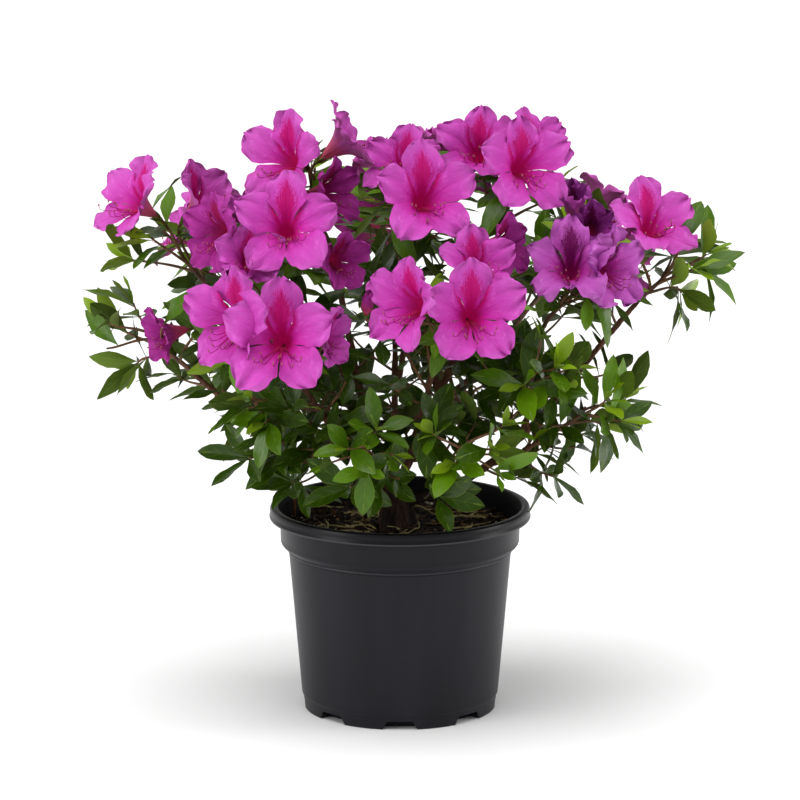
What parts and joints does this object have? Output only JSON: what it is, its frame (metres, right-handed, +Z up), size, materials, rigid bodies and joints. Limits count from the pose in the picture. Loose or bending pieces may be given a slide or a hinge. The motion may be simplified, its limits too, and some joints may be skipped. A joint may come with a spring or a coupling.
{
  "type": "potted azalea shrub",
  "caption": "Flowering azalea shrub fanning out from a short stump in a round, stepped plastic nursery pot filled with bark mix.",
  "frame": {"origin": "centre of the pot's flat underside, which stands on the ground", "axes": "+Z up, the pot's axis; -Y towards the side the picture shows; +X to that side's right"},
  "size_m": [0.5322, 0.3677, 0.5017],
  "materials": {
    "pot_plastic": "near-black injection-moulded plastic, satin",
    "potting_mix": "moist, coarse, dull bark mix",
    "bark": "dull, finely fissured bark",
    "foliage": "glossy green leaves and soft magenta-pink petals"
  },
  "bodies": {
    "root": {"pot": "pot_plastic", "soil": "potting_mix", "trunk": "bark", "bough_left": "bark", "bough_right": "bark", "bough_back": "bark", "bough_front_left": "bark", "bough_front": "bark", "bough_top_left": "bark", "bough_top_right": "bark", "bough_left_upper": "bark", "bough_upper_left": "bark", "bough_top_centre": "bark", "bough_right_upper": "bark", "bough_right_low": "bark", "bough_low_left": "bark", "bough_low_right": "bark", "bough_low_outer_left": "bark", "bough_low_outer_right": "bark", "bough_back_left": "bark", "bough_back_right": "bark", "bough_back_top": "bark", "bough_low_back": "bark", "bough_low_side": "bark", "mass_left": "foliage", "mass_left_upper": "foliage", "mass_front_left": "foliage", "mass_upper_left": "foliage", "mass_top_left": "foliage", "mass_front": "foliage", "mass_top_centre": "foliage", "mass_top_right": "foliage", "mass_right": "foliage", "mass_right_tip": "foliage", "mass_right_low": "foliage", "mass_low_left": "foliage", "mass_low_right": "foliage", "mass_low_outer_left": "foliage", "mass_low_outer_right": "foliage", "mass_back_left": "foliage", "mass_back": "foliage", "mass_back_right": "foliage", "mass_back_top": "foliage", "mass_low_back": "foliage", "mass_low_side": "foliage", "sucker": "foliage"}
  },
  "joints": []
}
